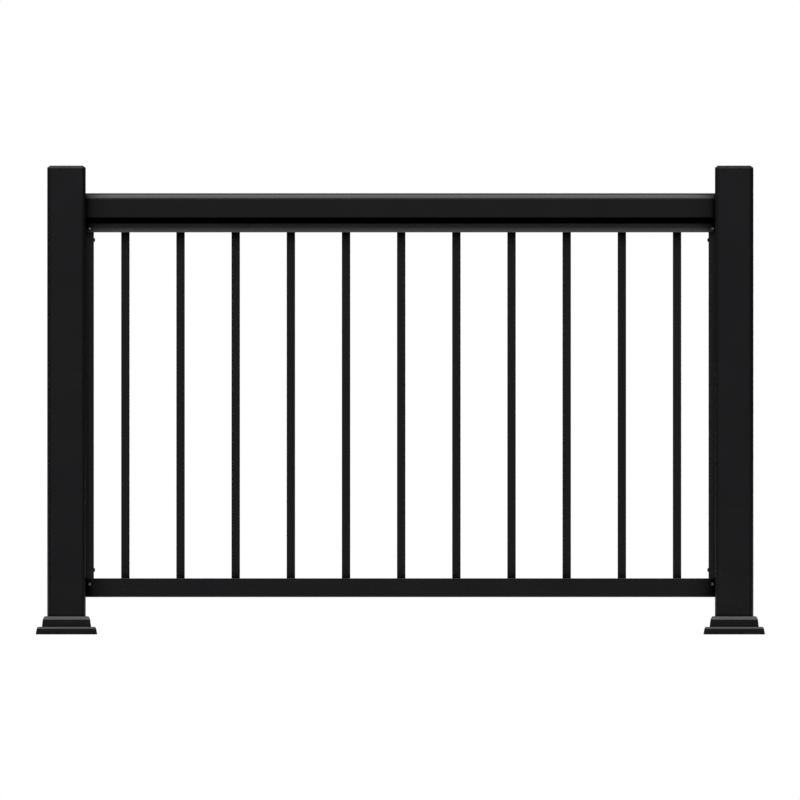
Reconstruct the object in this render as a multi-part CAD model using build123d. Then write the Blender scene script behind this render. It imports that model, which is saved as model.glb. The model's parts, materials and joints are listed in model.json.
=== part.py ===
from build123d import *
import os

# A straight bay of modular metal railing: two hollow posts with flat caps and
# two-step skirts, and between them a panel of square balusters held by a
# bottom rail and a two-piece top rail. All sizes are in millimetres.
# Origin: centre of the left post's base plate, on the deck.
# +X runs to the right post, +Y to the back and +Z up.

# Bay layout
RAIL_HEIGHT = 914.4
DECK_GAP = 77.4
BALUSTER_COUNT = 11
BALUSTER_PITCH = 114.3
END_GAP = 56.5
PANEL_SHIFT = 1.8

# Posts and their caps
POST_SIZE = 80.0
POST_WALL = 3.0
POST_CORNER = 9.5
POST_RISE = 57.2
CAP_EDGE = 1.2
CAP_CHAMFER_HEIGHT = 4.3
CAP_CHAMFER_ANGLE = 55.0
CAP_PLUG_LENGTH = 18.0
CAP_PLUG_WALL = 2.5
CAP_PLAY = 0.3

# Base plates
PLATE_MARGIN = 16.0
PLATE_THICKNESS = 6.0
PLATE_CORNER = 6.0
BOLT_EDGE = 10.0
BOLT_HOLE = 9.0

# Post skirts
SKIRT_HEIGHT = 37.9
SKIRT_STEP_HEIGHT = 16.0
SKIRT_LOWER_PLAY = 5.6
SKIRT_UPPER_MARGIN = 11.0
SKIRT_LOWER_DRAFT = 10.8
SKIRT_UPPER_DRAFT = 6.8
SKIRT_LOWER_BEVEL = 4.2
SKIRT_UPPER_BEVEL = 7.0
SKIRT_BEVEL_ANGLE = 24.0
SKIRT_TOP_ROUND = 3.4
SKIRT_FOOT_ROUND = 1.5
SKIRT_WALL = 2.4
SKIRT_PLAY = 0.6

# Rails, balusters and end channels
RAIL_WALL = 2.0
BALUSTER_SIZE = 17.5
BALUSTER_WALL = 1.5
BALUSTER_CORNER = 1.5
BALUSTER_PLAY = 0.3
BALUSTER_TOP_PLAY = 3.0
CHANNEL_DEPTH = 33.0
CHANNEL_REACH = 15.0
CHANNEL_WALL = 2.0
CHANNEL_PLAY = 0.5
BOTTOM_RAIL_HEIGHT = 39.1
BOTTOM_RAIL_LOWER_ROUND = 2.5
BOTTOM_RAIL_UPPER_ROUND = 0.8

# Carrier rail, under the handrail
CARRIER_HEIGHT = 18.2
CARRIER_FLARE = 3.5
NECK_WIDTH = 24.0
NECK_REVEAL = 12.2
FLANGE_WIDTH = 38.0

# Handrail
HANDRAIL_HEIGHT = 50.8
HANDRAIL_WIDTH = 54.0
HANDRAIL_WALL = 2.2
HANDRAIL_UPPER_ROUND = 14.0
HANDRAIL_LOWER_ROUND = 2.5
HANDRAIL_PLAY = 0.3
RIB_WIDTH = 2.0

# Plan, worked out from the sizes above
baluster_run = (BALUSTER_COUNT - 1) * BALUSTER_PITCH
clear_span = baluster_run + BALUSTER_SIZE + 2 * (END_GAP + CHANNEL_REACH)
post_spacing = clear_span + POST_SIZE
mid_bay = post_spacing / 2
span_start = POST_SIZE / 2
span_end = span_start + clear_span
first_baluster = mid_bay + PANEL_SHIFT - baluster_run / 2
left_reach = CHANNEL_REACH + PANEL_SHIFT
right_reach = CHANNEL_REACH - PANEL_SHIFT
rail_width = CHANNEL_DEPTH + 2 * (CHANNEL_PLAY + RAIL_WALL)
plate_size = POST_SIZE + 2 * PLATE_MARGIN
bolt_spacing = plate_size - 2 * BOLT_EDGE
skirt_lower_width = plate_size + 2 * (SKIRT_LOWER_PLAY + SKIRT_WALL)
skirt_upper_width = POST_SIZE + 2 * SKIRT_UPPER_MARGIN

# Heights, worked out from the sizes above
post_top = RAIL_HEIGHT + POST_RISE
post_rim = post_top - CAP_CHAMFER_HEIGHT - CAP_EDGE
handrail_bottom = RAIL_HEIGHT - HANDRAIL_HEIGHT
carrier_top = handrail_bottom - NECK_REVEAL
carrier_bottom = carrier_top - CARRIER_HEIGHT
flange_bottom = handrail_bottom + HANDRAIL_WALL + HANDRAIL_PLAY
flange_top = flange_bottom + RAIL_WALL
bottom_rail_top = DECK_GAP + BOTTOM_RAIL_HEIGHT
rail_floor = DECK_GAP + RAIL_WALL
carrier_roof = carrier_top - RAIL_WALL


def square(size, corner):
    """A square with rounded corners, centred on the origin."""
    return RectangleRounded(size, size, corner)


def upright(outline, bottom, top):
    """A flat outline raised from one height to another."""
    return extrude(Pos(0, 0, bottom) * outline, top - bottom)


def along_bay(profile):
    """A cross-section, drawn as depth and height, run from post to post."""
    return extrude(Plane.YZ.offset(span_start) * profile, clear_span)


def bar(width, bottom, top):
    """A rectangle in the cross-section, centred on the railing's plane."""
    return Pos(0, (bottom + top) / 2) * Rectangle(width, top - bottom)


def rounded_bar(width, bottom, top, upper_round, lower_round):
    """The same rectangle with its upper and lower corners rounded."""
    outline = bar(width, bottom, top)
    outline = fillet(outline.vertices().group_by(Axis.Y)[-1], upper_round)
    return fillet(outline.vertices().group_by(Axis.Y)[0], lower_round)


def baluster_places():
    """The middle of each baluster along the bay."""
    return [first_baluster + i * BALUSTER_PITCH for i in range(BALUSTER_COUNT)]


def at_left_post(shape):
    """Something drawn from a post's face towards +X, set against the left post."""
    return Pos(span_start, 0, 0) * shape


def at_right_post(shape):
    """The same, turned round and set against the right post."""
    return Pos(span_end, 0, 0) * Rot(0, 0, 180) * shape


def reach_block(reach, depth, bottom, top):
    """A block that stands this far out from a post's face."""
    return upright(Pos(reach / 2, 0) * Rectangle(reach, depth), bottom, top)


def cut_seats(rail, bottom, top):
    """Punch a rail's wall for the balusters and notch it for the end channels."""
    hole = square(BALUSTER_SIZE + 2 * BALUSTER_PLAY, BALUSTER_CORNER + BALUSTER_PLAY)
    for x in baluster_places():
        rail -= Pos(x, 0, 0) * upright(hole, bottom, top)
    notch_depth = CHANNEL_DEPTH + 2 * CHANNEL_PLAY
    rail -= at_left_post(reach_block(left_reach + CHANNEL_PLAY, notch_depth, bottom, top))
    return rail - at_right_post(reach_block(right_reach + CHANNEL_PLAY, notch_depth, bottom, top))


def make_post():
    tube = square(POST_SIZE, POST_CORNER)
    tube -= square(POST_SIZE - 2 * POST_WALL, POST_CORNER - POST_WALL)
    return upright(tube, PLATE_THICKNESS, post_rim)


def make_post_cap():
    outline = square(POST_SIZE, POST_CORNER)
    cap = upright(outline, post_rim, post_rim + CAP_EDGE)
    cap += extrude(
        Pos(0, 0, post_rim + CAP_EDGE) * outline,
        CAP_CHAMFER_HEIGHT,
        taper=CAP_CHAMFER_ANGLE,
    )
    plug_size = POST_SIZE - 2 * (POST_WALL + CAP_PLAY)
    plug_corner = POST_CORNER - POST_WALL
    plug = square(plug_size, plug_corner)
    plug -= square(plug_size - 2 * CAP_PLUG_WALL, plug_corner - CAP_PLUG_WALL)
    return cap + upright(plug, post_rim - CAP_PLUG_LENGTH, post_rim)


def make_base_plate():
    plate = square(plate_size, PLATE_CORNER)
    plate -= GridLocations(bolt_spacing, bolt_spacing, 2, 2) * Circle(BOLT_HOLE / 2)
    return upright(plate, 0, PLATE_THICKNESS)


def skirt_step(width, bottom, top, draft, bevel):
    """One drafted step of the skirt, with a steep bevel round its top."""
    wall = extrude(Pos(0, 0, bottom) * Rectangle(width, width), top - bevel - bottom, taper=draft)
    roof = wall.faces().sort_by(Axis.Z)[-1]
    return wall + extrude(roof, bevel, taper=SKIRT_BEVEL_ANGLE)


def skirt_steps(inset):
    """The skirt's two steps, or the room inside each when inset by the wall."""
    lower = skirt_step(
        skirt_lower_width - 2 * inset,
        0,
        SKIRT_STEP_HEIGHT - inset,
        SKIRT_LOWER_DRAFT,
        SKIRT_LOWER_BEVEL - inset,
    )
    upper = skirt_step(
        skirt_upper_width - 2 * inset,
        SKIRT_STEP_HEIGHT - inset,
        SKIRT_HEIGHT - inset,
        SKIRT_UPPER_DRAFT,
        SKIRT_UPPER_BEVEL - inset,
    )
    return lower, upper


def round_top(step):
    return fillet(step.faces().sort_by(Axis.Z)[-1].edges(), SKIRT_TOP_ROUND)


def make_post_skirt():
    lower, upper = skirt_steps(0)
    lower = fillet(lower.faces().sort_by(Axis.Z)[0].edges(), SKIRT_FOOT_ROUND)
    skirt = round_top(lower) + round_top(upper)
    for room in skirt_steps(SKIRT_WALL):
        skirt -= room
    opening = square(POST_SIZE + 2 * SKIRT_PLAY, POST_CORNER + SKIRT_PLAY)
    return skirt - upright(opening, 0, SKIRT_HEIGHT)


def make_bottom_rail():
    outline = rounded_bar(
        rail_width,
        DECK_GAP,
        bottom_rail_top,
        BOTTOM_RAIL_UPPER_ROUND,
        BOTTOM_RAIL_LOWER_ROUND,
    )
    hollow = rounded_bar(
        rail_width - 2 * RAIL_WALL,
        rail_floor,
        bottom_rail_top - RAIL_WALL,
        CHANNEL_PLAY,
        CHANNEL_PLAY,
    )
    rail = along_bay(outline - hollow)
    return cut_seats(rail, bottom_rail_top - RAIL_WALL, bottom_rail_top)


def carrier_body():
    """The carrier rail's lower box, whose sides flare out in a shallow cove."""
    top_half = rail_width / 2
    bottom_half = top_half + CARRIER_FLARE
    with BuildSketch() as section:
        with BuildLine():
            Line((-top_half, carrier_top), (top_half, carrier_top))
            TangentArc((top_half, carrier_top), (bottom_half, carrier_bottom), tangent=(0, -1))
            Line((bottom_half, carrier_bottom), (-bottom_half, carrier_bottom))
            TangentArc((-top_half, carrier_top), (-bottom_half, carrier_bottom), tangent=(0, -1))
        make_face()
    return section.sketch


def make_carrier_rail():
    body = carrier_body()
    section = body - offset(body, -RAIL_WALL)
    section += bar(NECK_WIDTH, carrier_top, flange_top)
    section += bar(FLANGE_WIDTH, flange_bottom, flange_top)
    section -= bar(NECK_WIDTH - 2 * RAIL_WALL, carrier_top, flange_bottom)
    return cut_seats(along_bay(section), carrier_bottom, carrier_bottom + RAIL_WALL)


def make_handrail():
    outline = rounded_bar(
        HANDRAIL_WIDTH,
        handrail_bottom,
        RAIL_HEIGHT,
        HANDRAIL_UPPER_ROUND,
        HANDRAIL_LOWER_ROUND,
    )
    hollow = offset(outline, -HANDRAIL_WALL)
    for side in (-1, 1):
        rib = bar(RIB_WIDTH, flange_top, RAIL_HEIGHT)
        hollow -= Pos(side * (FLANGE_WIDTH - RIB_WIDTH) / 2, 0) * rib
    slot = bar(NECK_WIDTH + 2 * HANDRAIL_PLAY, handrail_bottom, flange_bottom)
    return along_bay(outline - hollow - slot)


def make_baluster():
    tube = square(BALUSTER_SIZE, BALUSTER_CORNER)
    tube -= Rectangle(BALUSTER_SIZE - 2 * BALUSTER_WALL, BALUSTER_SIZE - 2 * BALUSTER_WALL)
    return upright(tube, rail_floor, carrier_roof - BALUSTER_TOP_PLAY)


def make_end_channel(reach):
    """A channel open to the post, with its web towards the bay."""
    channel = reach_block(reach, CHANNEL_DEPTH, rail_floor, carrier_roof)
    return channel - reach_block(
        reach - CHANNEL_WALL, CHANNEL_DEPTH - 2 * CHANNEL_WALL, rail_floor, carrier_roof
    )


def save(name, shape):
    export_step(shape, f"parts/{name}.step")


os.makedirs("parts", exist_ok=True)

post_pieces = {
    "base_plate": make_base_plate(),
    "post": make_post(),
    "post_cap": make_post_cap(),
    "post_skirt": make_post_skirt(),
}
for name, piece in post_pieces.items():
    save(f"{name}_left", piece)
    save(f"{name}_right", Pos(post_spacing, 0, 0) * piece)

save("end_channel_left", at_left_post(make_end_channel(left_reach)))
save("end_channel_right", at_right_post(make_end_channel(right_reach)))

save("bottom_rail", make_bottom_rail())
save("carrier_rail", make_carrier_rail())
save("handrail", make_handrail())

baluster = make_baluster()
for number, x in enumerate(baluster_places(), start=1):
    save(f"baluster_{number:02d}", Pos(x, 0, 0) * baluster)
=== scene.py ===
import json
import math

import bmesh
import bpy
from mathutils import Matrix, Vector


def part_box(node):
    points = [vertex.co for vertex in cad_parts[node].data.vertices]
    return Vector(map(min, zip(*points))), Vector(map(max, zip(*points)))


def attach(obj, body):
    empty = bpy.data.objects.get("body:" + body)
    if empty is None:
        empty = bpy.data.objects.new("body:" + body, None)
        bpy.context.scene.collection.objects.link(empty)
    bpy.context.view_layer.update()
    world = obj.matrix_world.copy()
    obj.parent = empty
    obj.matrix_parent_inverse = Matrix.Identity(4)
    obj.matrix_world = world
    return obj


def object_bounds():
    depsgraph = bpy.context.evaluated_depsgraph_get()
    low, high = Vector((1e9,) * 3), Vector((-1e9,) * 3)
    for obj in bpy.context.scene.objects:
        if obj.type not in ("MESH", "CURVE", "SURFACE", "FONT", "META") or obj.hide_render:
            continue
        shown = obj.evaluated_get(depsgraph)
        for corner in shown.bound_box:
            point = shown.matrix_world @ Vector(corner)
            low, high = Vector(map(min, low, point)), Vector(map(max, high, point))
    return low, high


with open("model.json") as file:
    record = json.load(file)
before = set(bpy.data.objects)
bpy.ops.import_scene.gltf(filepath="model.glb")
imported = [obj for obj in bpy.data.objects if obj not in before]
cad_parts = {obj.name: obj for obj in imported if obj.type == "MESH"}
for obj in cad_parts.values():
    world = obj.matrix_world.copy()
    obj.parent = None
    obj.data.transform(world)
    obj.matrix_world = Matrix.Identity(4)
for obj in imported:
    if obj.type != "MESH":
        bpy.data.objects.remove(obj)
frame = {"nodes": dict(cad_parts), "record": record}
cad_low, cad_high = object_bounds()

nodes = frame["nodes"]
slots = {row["node"]: row["material_slot"] for row in frame["record"]["subparts"]}
bay_middle = (cad_low.x + cad_high.x) / 2

# Sizes are in metres, and angles in degrees.
MM = 0.001

# The photograph: a flat front view, 800 pixels square
PHOTO_SIZE = 800
PIXEL = 2.072 * MM
EYE_ROW = 400
DECK_ROW = 634.5
CENTRE_SHIFT = 0.7 * MM
CAMERA_DISTANCE = 8.0
CAMERA_REACH = 40.0

# Screw heads and their places
HEAD_RADIUS = 4.0 * MM
HEAD_HEIGHT = 2.5 * MM
HEAD_RIM = 0.5 * MM
SOCKET_HALF = 1.3 * MM
SOCKET_DEPTH = 1.5 * MM
SOCKET_TAPER = 0.86
LAND_RADIUS = 2.3 * MM
HEAD_SEGMENTS = 32
DOME_RINGS = 8
RAIL_SCREW_SETBACK = 8.3 * MM
CARRIER_SCREW_RISE = 7.0 * MM
BOTTOM_SCREW_DROP = 12.3 * MM
CHANNEL_SCREW_DROP = 15.8 * MM
CHANNEL_SCREW_RISE = 17.3 * MM
AIM_DISTANCE = 60 * MM

# Colours, all linear
COAT_BLACK = (0.0123, 0.0123, 0.0137)
# The channels' coat is painted lighter than the same coat on posts and rails: painted light that
# offsets the shade in their recess.
CHANNEL_PAINTED_LIGHTER_BLACK = (0.0175, 0.0175, 0.0192)
TRIM_BLACK = (0.0154, 0.0154, 0.0167)
PLATE_BLACK = (0.016, 0.016, 0.017)
SCREW_BLACK = (0.014, 0.014, 0.015)
MIDDLE_GREY = (0.27, 0.27, 0.276)
WHITE = (1, 1, 1, 1)

# How the finishes vary over a surface
CLOUD_SCALE = 9
CLOUD_NOISE = {"Detail": 4, "Roughness": 0.5}
PEEL_NOISE = {"Detail": 2, "Roughness": 0.4}
GRAIN_NOISE = {"Detail": 3, "Roughness": 0.6}
NOISE_LOW = 0.3
NOISE_HIGH = 0.7
TONE_SPREAD = 0.06
ROUGHNESS_SPREAD = 0.1
EDGE_SAMPLES = 6
# Samples and reach of the painted shade in corners and seams
SHADE_SAMPLES = 8
SHADE_REACH = 58 * MM
# How much painted shade darkens the posts' corners
CORNER_SHADE = 0.55
# The lighter grey middle of each screw head: its radius and the width of its soft rim
MIDDLE_RADIUS = 2.1 * MM
MIDDLE_FADE = 0.4 * MM

# The product of a normal's x and y, halfway round an upright corner
HALFWAY_ROUND = 0.5

# Surface textures: the size and depth of the orange peel and of the fine grain
COAT_TEXTURE = {
    "peel_size": 2.2 * MM,
    "peel_depth": 0.012 * MM,
    "grain_size": 0.45 * MM,
    "grain_depth": 0.003 * MM,
}
MOULDED_TEXTURE = {
    "peel_size": 1.2 * MM,
    "peel_depth": 0.004 * MM,
    "grain_size": 0.3 * MM,
    "grain_depth": 0.001 * MM,
}
PLATE_TEXTURE = {
    "peel_size": 2.5 * MM,
    "peel_depth": 0.02 * MM,
    "grain_size": 0.5 * MM,
    "grain_depth": 0.006 * MM,
}
SCREW_TEXTURE = {
    "peel_size": 0.8 * MM,
    "peel_depth": 0.006 * MM,
    "grain_size": 0.2 * MM,
    "grain_depth": 0.003 * MM,
}

# A finish for each material slot, for the screws, and for one node that differs from its slot.
# The edge is the radius that sharp edges are softened to, and a higher painted shade strength
# paints more shade into corners and seams, on the colour and the reflections.
FINISHES = {
    "post": {
        "name": "post_coat",
        "colour": COAT_BLACK,
        "roughness": 0.26,
        "texture": COAT_TEXTURE,
        "edge": 0.4 * MM,
        "painted_shade_strength": 1.2,
    },
    "rail": {
        "name": "rail_coat",
        "colour": COAT_BLACK,
        "roughness": 0.25,
        "texture": COAT_TEXTURE,
        "edge": 0.4 * MM,
        "painted_shade_strength": 5.2,
    },
    "carrier_rail": {
        "name": "carrier_coat",
        "colour": COAT_BLACK,
        "roughness": 0.34,
        "texture": COAT_TEXTURE,
        "edge": 0.4 * MM,
        "painted_shade_strength": 5.2,
    },
    "baluster": {
        "name": "baluster_coat",
        "colour": COAT_BLACK,
        "roughness": 0.26,
        "texture": COAT_TEXTURE,
        "edge": 0.3 * MM,
        "painted_shade_strength": 2,
    },
    "channel": {
        "name": "channel_coat",
        "colour": CHANNEL_PAINTED_LIGHTER_BLACK,
        "roughness": 0.26,
        "texture": COAT_TEXTURE,
        "edge": 0.4 * MM,
        "painted_shade_strength": 0.5,
    },
    "trim": {
        "name": "moulded_trim",
        "colour": TRIM_BLACK,
        "roughness": 0.2,
        "texture": MOULDED_TEXTURE,
        "edge": 0.5 * MM,
        "painted_shade_strength": 1.3,
    },
    "plate": {
        "name": "plate_coat",
        "colour": PLATE_BLACK,
        "roughness": 0.4,
        "texture": PLATE_TEXTURE,
        "edge": 0.5 * MM,
        "painted_shade_strength": 2,
    },
    "screw": {
        "name": "screw_coat",
        "colour": SCREW_BLACK,
        "roughness": 0.25,
        "texture": SCREW_TEXTURE,
        "edge": 0.15 * MM,
        "painted_shade_strength": 1.2,
    },
}

# Floor: it glows for rays that see it, and turns white between two distances from mid-bay.
FLOOR_GREY = (0.5, 0.5, 0.5, 1)
FLOOR_GLOW = 0.6
WHITE_START = 1.5
WHITE_END = 3.5
FLOOR_FRONT = 0.1
FLOOR_BACK = 6.0
FLOOR_SIDE = 4.0

# World: azimuths are measured from the front, and a start is the cosine where a glow begins.
BACKDROP_AZIMUTH = 180
BACKDROP_START = 0.75
BACKDROP_DARK = 0.03
FILL_AZIMUTH = -35
FILL_START = 0
FILL_DARK = 0.08
FILL_LIGHT = 0.66

# Key lamp: a panel that spans these angles, seen from the railing
KEY_RADIANCE = 2.6
KEY_DISTANCE = 6.0
KEY_ELEVATION = 69
KEY_AZIMUTH = -20
KEY_HEIGHT_ANGLE = 68
KEY_WIDTH_ANGLE = 84


# Camera

def add_camera():
    """A flat camera straight in front of the bay, framed as the photograph is."""
    data = bpy.data.cameras.new("camera")
    data.type = "ORTHO"
    data.ortho_scale = PHOTO_SIZE * PIXEL
    data.clip_end = CAMERA_REACH
    camera = bpy.data.objects.new("camera", data)
    camera.location = (
        bay_middle - CENTRE_SHIFT,
        -CAMERA_DISTANCE,
        (DECK_ROW - EYE_ROW) * PIXEL,
    )
    camera.rotation_euler = (math.radians(90), 0, 0)
    bpy.context.scene.collection.objects.link(camera)
    bpy.context.scene.camera = camera


# Shader nodes

def add_node(tree, kind, inputs=None, **settings):
    """A shader node. Each input is a plain value, or another node's output to link."""
    node = tree.nodes.new(f"ShaderNode{kind}")
    for key, value in settings.items():
        setattr(node, key, value)
    for key, value in (inputs or {}).items():
        if isinstance(value, bpy.types.NodeSocket):
            tree.links.new(value, node.inputs[key])
        else:
            node.inputs[key].default_value = value
    return node


def calculate(tree, operation, *values):
    """Arithmetic on numbers."""
    return add_node(tree, "Math", dict(enumerate(values)), operation=operation).outputs["Value"]


def measure(tree, operation, *vectors):
    """Arithmetic on vectors that gives one number."""
    node = add_node(tree, "VectorMath", dict(enumerate(vectors)), operation=operation)
    return node.outputs["Value"]


def remap(tree, value, from_low, from_high, to_low, to_high, **settings):
    """A number carried from one range to another, and held at its ends."""
    inputs = {
        "Value": value,
        "From Min": from_low,
        "From Max": from_high,
        "To Min": to_low,
        "To Max": to_high,
    }
    return add_node(tree, "MapRange", inputs, **settings).outputs["Result"]


def blend(tree, factor, first, second):
    """A mix of two colours."""
    inputs = {"Factor": factor, "A": first, "B": second}
    return add_node(tree, "Mix", inputs, data_type="RGBA").outputs["Result"]


def dim(tree, colour, share):
    """The colour, scaled to a share of itself."""
    inputs = {0: colour, "Scale": share}
    return add_node(tree, "VectorMath", inputs, operation="SCALE").outputs["Vector"]


def noise(tree, place, scale, pattern):
    """A noise pattern whose scale is in cycles a metre."""
    inputs = {"Vector": place, "Scale": scale, **pattern}
    return add_node(tree, "TexNoise", inputs).outputs["Fac"]


def bump(tree, height, distance, normal):
    """The normal, tilted by a relief of this depth."""
    inputs = {"Height": height, "Distance": distance, "Strength": 1, "Normal": normal}
    return add_node(tree, "Bump", inputs).outputs["Normal"]


def painted_seam_shade(tree, power):
    """Painted shade: 1 in the open, less in corners and seams, where less light gets in."""
    around = add_node(
        tree, "AmbientOcclusion", {"Distance": SHADE_REACH}, samples=SHADE_SAMPLES
    )
    return calculate(tree, "POWER", around.outputs["AO"], power)


def seen(tree):
    """1 for rays that show the background: camera, glossy and transmission rays."""
    path = add_node(tree, "LightPath")
    total = path.outputs["Is Camera Ray"]
    for kind in ("Is Glossy Ray", "Is Transmission Ray"):
        total = calculate(tree, "MAXIMUM", total, path.outputs[kind])
    return total


# Materials

def new_material(name):
    """An empty material and its node tree."""
    material = bpy.data.materials.new(name)
    material.use_nodes = True
    material.node_tree.nodes.clear()
    return material, material.node_tree


def paint_corner_shade(tree, tone):
    """The tone with painted shade where a surface turns from front to side, on the posts'
    corners.
    """
    normal = add_node(tree, "TexCoord").outputs["Normal"]
    facing = add_node(tree, "SeparateXYZ", {"Vector": normal}).outputs
    turned = calculate(tree, "MULTIPLY", facing["X"], facing["Y"])
    amount = calculate(tree, "ABSOLUTE", turned)
    return dim(tree, tone, remap(tree, amount, 0, HALFWAY_ROUND, 1, 1 - CORNER_SHADE))


def lighter_middle(tree, tone):
    """A lighter grey disc round the middle of a screw head, fading out at its rim."""
    place = add_node(tree, "TexCoord").outputs["Object"]
    flat = add_node(tree, "VectorMath", {0: place, 1: (1, 1, 0)}, operation="MULTIPLY")
    radius = measure(tree, "LENGTH", flat.outputs["Vector"])
    middle_share = remap(tree, radius, MIDDLE_RADIUS + MIDDLE_FADE, MIDDLE_RADIUS - MIDDLE_FADE, 0, 1)
    return blend(tree, middle_share, tone, (*MIDDLE_GREY, 1))


def scaled(colour, share):
    """A plain colour, scaled to a share of itself, with its alpha."""
    return (*(channel * share for channel in colour), 1)


def coated(name, colour, roughness, texture, edge, painted_shade_strength, marks=None):
    """A black coating: cloudy tone, orange-peel relief, fine grain, softened edges, and painted
    shade in corners and seams on its colour and reflections.

    Marks is a function that alters the tone.
    """
    material, tree = new_material(name)
    place = add_node(tree, "TexCoord").outputs["Object"]
    cloud = noise(tree, place, CLOUD_SCALE, CLOUD_NOISE)
    peel = noise(tree, place, 1 / texture["peel_size"], PEEL_NOISE)
    grain = noise(tree, place, 1 / texture["grain_size"], GRAIN_NOISE)

    darker = scaled(colour, 1 - TONE_SPREAD)
    lighter = scaled(colour, 1 + TONE_SPREAD)
    tone = blend(tree, cloud, darker, lighter)
    if marks:
        tone = marks(tree, tone)
    # Painted shade in corners and seams: it darkens the colour and dims the reflections there.
    shade = painted_seam_shade(tree, painted_shade_strength)
    scatter = remap(
        tree,
        cloud,
        NOISE_LOW,
        NOISE_HIGH,
        roughness * (1 - ROUGHNESS_SPREAD),
        roughness * (1 + ROUGHNESS_SPREAD),
    )
    softened = add_node(tree, "Bevel", {"Radius": edge}, samples=EDGE_SAMPLES)
    relief = bump(tree, peel, texture["peel_depth"], softened.outputs["Normal"])
    relief = bump(tree, grain, texture["grain_depth"], relief)

    inputs = {
        "Base Color": dim(tree, tone, shade),
        "Specular Tint": shade,
        "Roughness": scatter,
        "Normal": relief,
    }
    shader = add_node(tree, "BsdfPrincipled", inputs)
    add_node(tree, "OutputMaterial", {"Surface": shader.outputs["BSDF"]})
    return material


def make_materials():
    """One material for each finish."""
    marks = {"post": paint_corner_shade, "screw": lighter_middle}
    return {key: coated(marks=marks.get(key), **finish) for key, finish in FINISHES.items()}


def dress_nodes(materials):
    """Give every CAD node its own finish, or else the finish of its slot."""
    for name, node in nodes.items():
        finish = name if name in materials else slots[name]
        node.data.materials.clear()
        node.data.materials.append(materials[finish])


# Screws

def ring(bm, radius_at, height):
    """One turn of points round the screw's axis, at a height."""
    points = []
    for step in range(HEAD_SEGMENTS):
        angle = 2 * math.pi * (step + 0.5) / HEAD_SEGMENTS
        radius = radius_at(angle)
        points.append(bm.verts.new((radius * math.cos(angle), radius * math.sin(angle), height)))
    return points


def join_rings(bm, lower, upper, smooth):
    """A band of faces between two rings."""
    for step in range(HEAD_SEGMENTS):
        after = (step + 1) % HEAD_SEGMENTS
        face = bm.faces.new((lower[step], lower[after], upper[after], upper[step]))
        face.smooth = smooth


def circle(radius):
    """The outline of a circle, as a radius at each angle."""
    return lambda angle: radius


def square(half):
    """The outline of a square, as a radius at each angle."""
    return lambda angle: half / max(abs(math.cos(angle)), abs(math.sin(angle)))


def pan_head_mesh():
    """A pan head with a square socket, standing on the plane z = 0."""
    bm = bmesh.new()
    rings = [ring(bm, circle(HEAD_RADIUS), 0), ring(bm, circle(HEAD_RADIUS), HEAD_RIM)]
    for step in range(1, DOME_RINGS + 1):
        turn = math.pi / 2 * step / DOME_RINGS
        radius = LAND_RADIUS + (HEAD_RADIUS - LAND_RADIUS) * math.cos(turn)
        height = HEAD_RIM + (HEAD_HEIGHT - HEAD_RIM) * math.sin(turn)
        rings.append(ring(bm, circle(radius), height))
    dome_end = len(rings)
    rings.append(ring(bm, square(SOCKET_HALF), HEAD_HEIGHT))
    rings.append(ring(bm, square(SOCKET_HALF * SOCKET_TAPER), HEAD_HEIGHT - SOCKET_DEPTH))
    for index, (lower, upper) in enumerate(zip(rings, rings[1:])):
        join_rings(bm, lower, upper, smooth=0 < index < dome_end)
    bm.faces.new(rings[-1])
    bm.faces.new(list(reversed(rings[0])))
    mesh = bpy.data.meshes.new("pan_head")
    bm.to_mesh(mesh)
    bm.free()
    return mesh


def surface_hit(node, start, direction):
    """The point and outward normal where a ray first meets a CAD node."""
    hit, point, normal, _ = nodes[node].ray_cast(Vector(start), Vector(direction))
    if not hit:
        raise ValueError(f"no surface of {node} there")
    return point, normal


def add_screw(name, mesh, material, node, start, direction):
    """A screw head seated square on the surface that the ray meets."""
    point, normal = surface_hit(node, start, direction)
    screw = bpy.data.objects.new(name, mesh.copy())
    screw.data.materials.append(material)
    screw.rotation_mode = "QUATERNION"
    screw.rotation_quaternion = normal.to_track_quat("Z", "Y")
    screw.location = point
    bpy.context.scene.collection.objects.link(screw)
    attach(screw, "root")


def add_screws(material):
    """Heads through both faces of the rails, and through each end channel's web."""
    mesh = pan_head_mesh()
    carrier_low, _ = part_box("carrier_rail")
    _, bottom_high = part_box("bottom_rail")
    rail_heights = {
        "carrier_rail": carrier_low.z + CARRIER_SCREW_RISE,
        "bottom_rail": bottom_high.z - BOTTOM_SCREW_DROP,
    }
    channel_heights = {
        "upper": carrier_low.z - CHANNEL_SCREW_DROP,
        "lower": bottom_high.z + CHANNEL_SCREW_RISE,
    }
    for side, inward in (("left", 1), ("right", -1)):
        channel = f"end_channel_{side}"
        low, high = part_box(channel)
        web = high.x if side == "left" else low.x
        for node, height in rail_heights.items():
            for face, toward in (("front", 1), ("back", -1)):
                name = f"screw_{node}_{side}_{face}"
                start = (web - inward * RAIL_SCREW_SETBACK, -toward * AIM_DISTANCE, height)
                add_screw(name, mesh, material, node, start, (0, toward, 0))
        for level, height in channel_heights.items():
            name = f"screw_{channel}_{level}"
            start = (web + inward * AIM_DISTANCE, 0, height)
            add_screw(name, mesh, material, channel, start, (-inward, 0, 0))
    bpy.data.meshes.remove(mesh)


# Floor, backdrop and lamp

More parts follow.
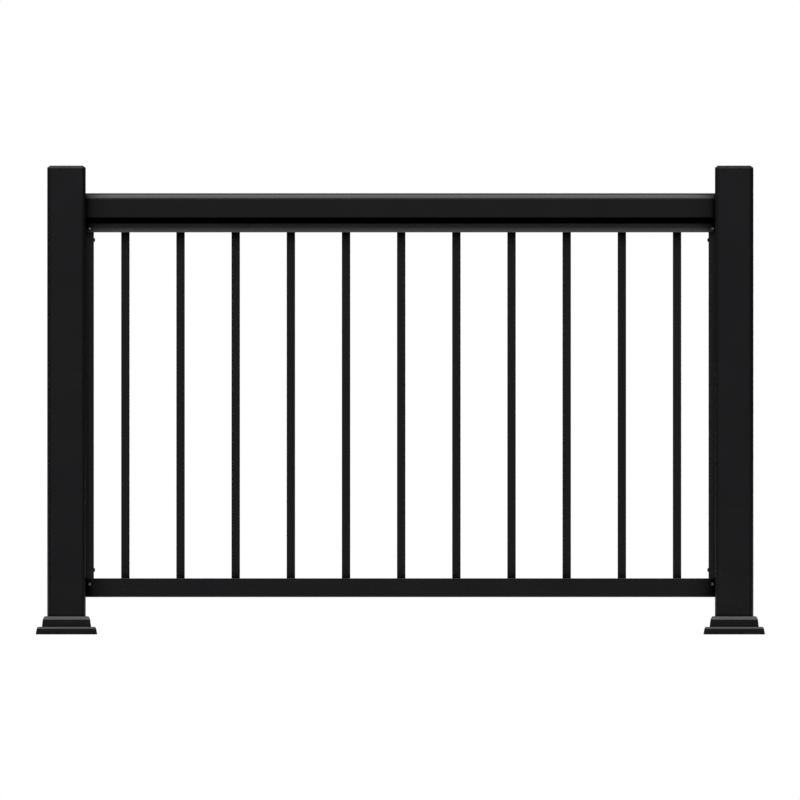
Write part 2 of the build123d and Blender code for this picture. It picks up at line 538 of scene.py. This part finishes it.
def add_floor():
    """A pale floor that starts a little in front of the railing and turns white far from it."""
    mesh = bpy.data.meshes.new("floor")
    left, right = cad_low.x - FLOOR_SIDE, cad_high.x + FLOOR_SIDE
    front, back = cad_low.y - FLOOR_FRONT, cad_high.y + FLOOR_BACK
    corners = [(left, front, 0), (right, front, 0), (right, back, 0), (left, back, 0)]
    mesh.from_pydata(corners, [], [(0, 1, 2, 3)])
    floor = bpy.data.objects.new("floor", mesh)
    bpy.context.scene.collection.objects.link(floor)

    material, tree = new_material("floor")
    place = add_node(tree, "TexCoord").outputs["Object"]
    distance = measure(tree, "DISTANCE", place, (bay_middle, 0, 0))
    glow = remap(tree, distance, WHITE_START, WHITE_END, FLOOR_GLOW, 1)
    lift = calculate(tree, "MULTIPLY", seen(tree), glow)
    matte = add_node(tree, "BsdfDiffuse", {"Color": FLOOR_GREY})
    light = add_node(tree, "Emission", {"Strength": lift})
    shaders = {0: matte.outputs["BSDF"], 1: light.outputs["Emission"]}
    both = add_node(tree, "AddShader", shaders)
    add_node(tree, "OutputMaterial", {"Surface": both.outputs["Shader"]})
    mesh.materials.append(material)


def glow_around(tree, azimuth, start, dark, bright):
    """A level that rises toward the horizon at an azimuth, from a given cosine on."""
    angle = math.radians(azimuth)
    direction = add_node(tree, "TexCoord").outputs["Generated"]
    toward = (math.sin(angle), -math.cos(angle), 0)
    nearness = measure(tree, "DOT_PRODUCT", direction, toward)
    return remap(tree, nearness, start, 1, dark, bright, interpolation_type="SMOOTHSTEP")


def background(tree, strength):
    """A white world of this strength."""
    node = add_node(tree, "Background", {"Color": WHITE, "Strength": strength})
    return node.outputs["Background"]


def add_world():
    """White where the camera looks, a white backdrop in reflections, and a fill that is
    brightest toward the front left.
    """
    world = bpy.data.worlds.new("studio")
    bpy.context.scene.world = world
    world.use_nodes = True
    tree = world.node_tree
    tree.nodes.clear()
    backdrop = glow_around(tree, BACKDROP_AZIMUTH, BACKDROP_START, BACKDROP_DARK, 1)
    fill = glow_around(tree, FILL_AZIMUTH, FILL_START, FILL_DARK, FILL_LIGHT)
    looked_at = add_node(tree, "LightPath").outputs["Is Camera Ray"]
    shown = calculate(tree, "MAXIMUM", backdrop, looked_at)
    shaders = {"Fac": seen(tree), 1: background(tree, fill), 2: background(tree, shown)}
    choice = add_node(tree, "MixShader", shaders)
    add_node(tree, "OutputWorld", {"Surface": choice.outputs["Shader"]})


def add_key_light():
    """One large soft panel, high in front and a little to the left."""
    elevation = math.radians(KEY_ELEVATION)
    azimuth = math.radians(KEY_AZIMUTH)
    toward = Vector((
        math.sin(azimuth) * math.cos(elevation),
        -math.cos(azimuth) * math.cos(elevation),
        math.sin(elevation),
    ))
    width = 2 * KEY_DISTANCE * math.tan(math.radians(KEY_WIDTH_ANGLE / 2))
    height = 2 * KEY_DISTANCE * math.tan(math.radians(KEY_HEIGHT_ANGLE / 2))
    data = bpy.data.lights.new("key", "AREA")
    data.shape = "RECTANGLE"
    data.size = width
    data.size_y = height
    data.energy = KEY_RADIANCE * math.pi * width * height
    lamp = bpy.data.objects.new("key", data)
    lamp.location = (cad_low + cad_high) / 2 + toward * KEY_DISTANCE
    lamp.rotation_mode = "QUATERNION"
    lamp.rotation_quaternion = toward.to_track_quat("Z", "Y")
    bpy.context.scene.collection.objects.link(lamp)


add_camera()
materials = make_materials()
dress_nodes(materials)
add_screws(materials["screw"])
add_floor()
add_world()
add_key_light()

bpy.context.scene.view_settings.view_transform = "Standard"
